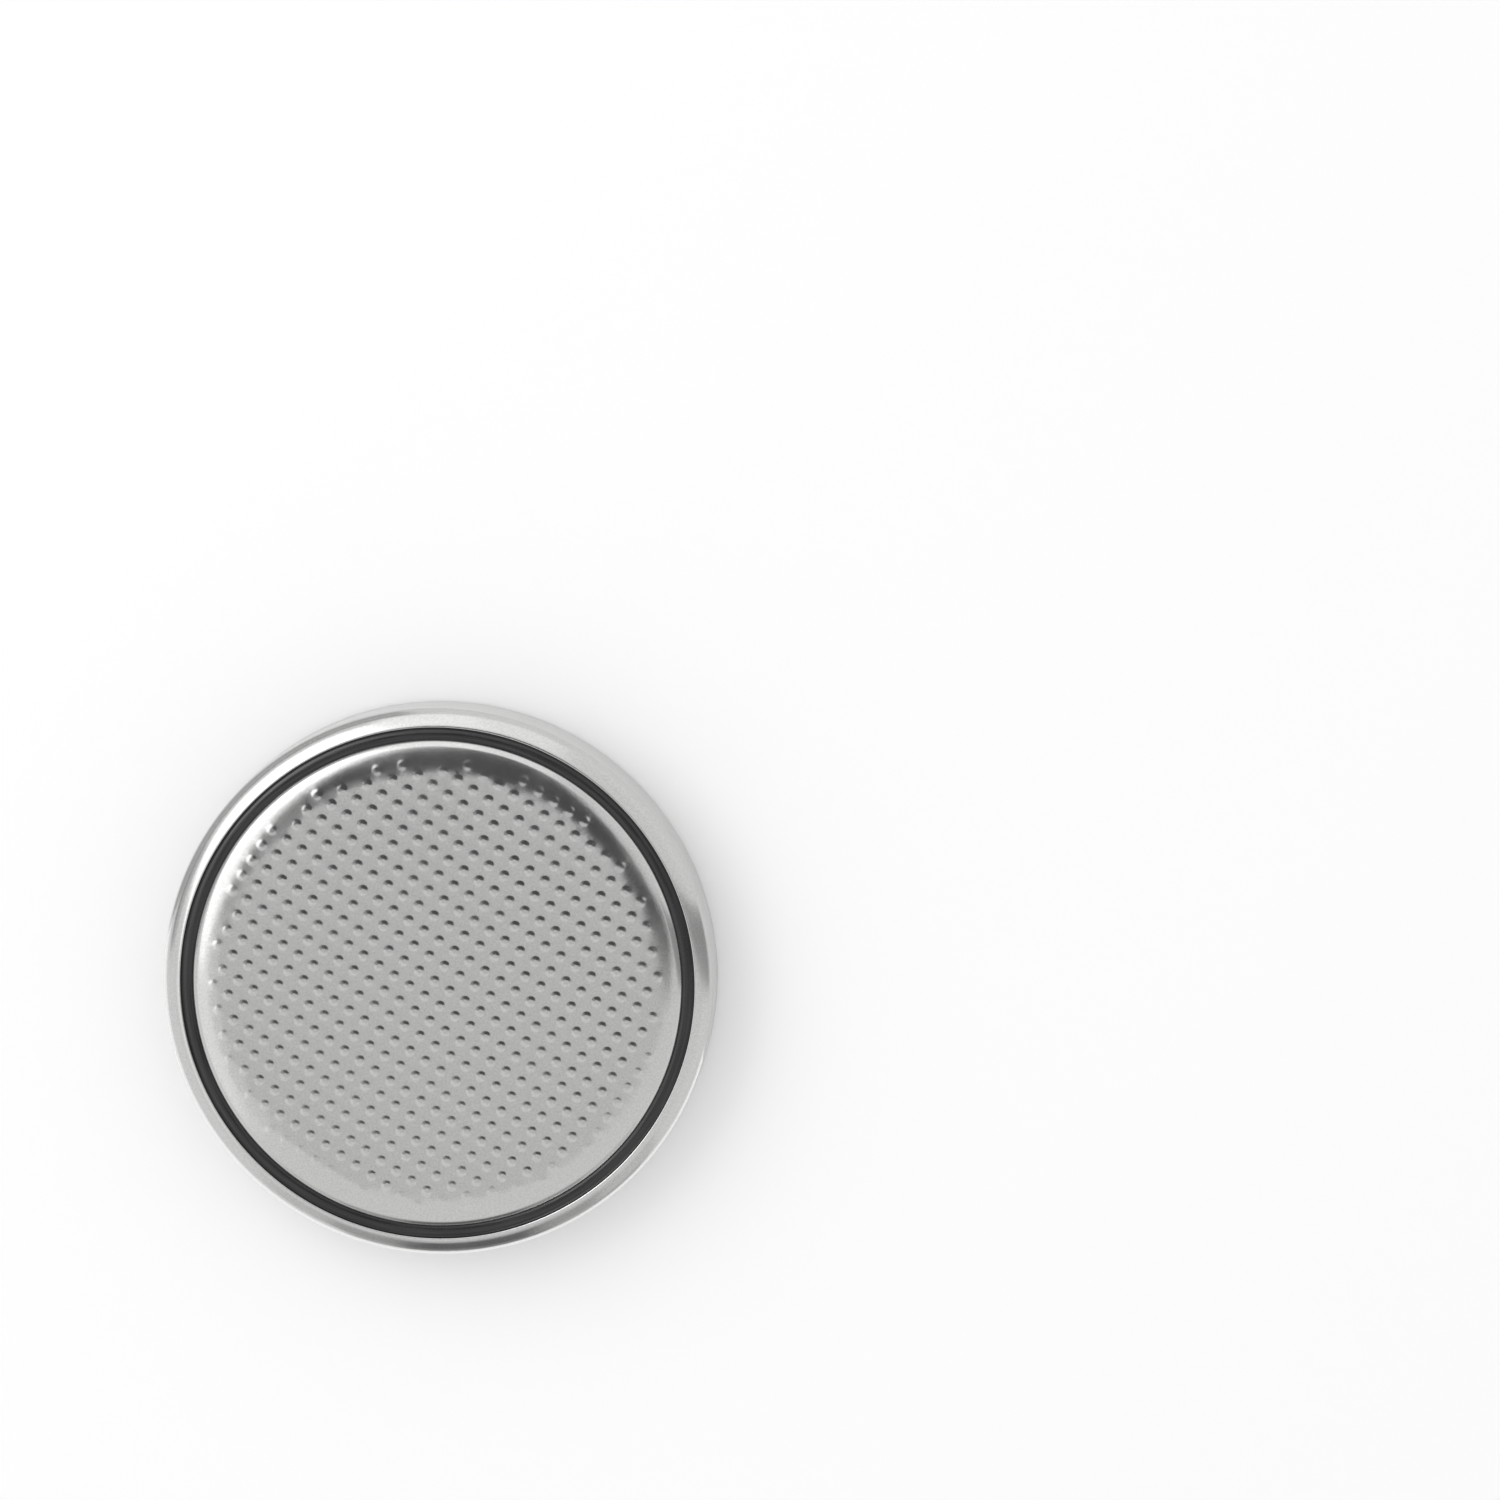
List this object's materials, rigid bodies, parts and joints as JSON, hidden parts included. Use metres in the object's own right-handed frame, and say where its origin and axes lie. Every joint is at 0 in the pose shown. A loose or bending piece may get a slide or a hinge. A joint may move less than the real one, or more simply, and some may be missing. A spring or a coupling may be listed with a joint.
{
  "type": "lithium coin cell",
  "caption": "Flat round lithium coin cell: crimped steel can, black sealing ring and dotted steel cap, with its electrodes and separator inside.",
  "frame": {"origin": "centre of the positive face, on which the cell lies", "axes": "+Z along the cell's axis from the positive face to the negative cap; the rows of dots lie 33.6 degrees clockwise of +X"},
  "size_m": [0.02, 0.02, 0.0032],
  "materials": {
    "can_steel": "satin",
    "gasket_plastic": "moulded",
    "cap_steel": "satin",
    "lithium": "dull",
    "felt": "non-woven",
    "manganese_dioxide": "pressed powder",
    "grid_steel": "plain"
  },
  "bodies": {
    "root": {"positive_can": "can_steel", "sealing_gasket": "gasket_plastic", "negative_cap": "cap_steel", "lithium_anode": "lithium", "separator": "felt", "cathode_pellet": "manganese_dioxide", "collector_grid": "grid_steel"}
  },
  "joints": []
}
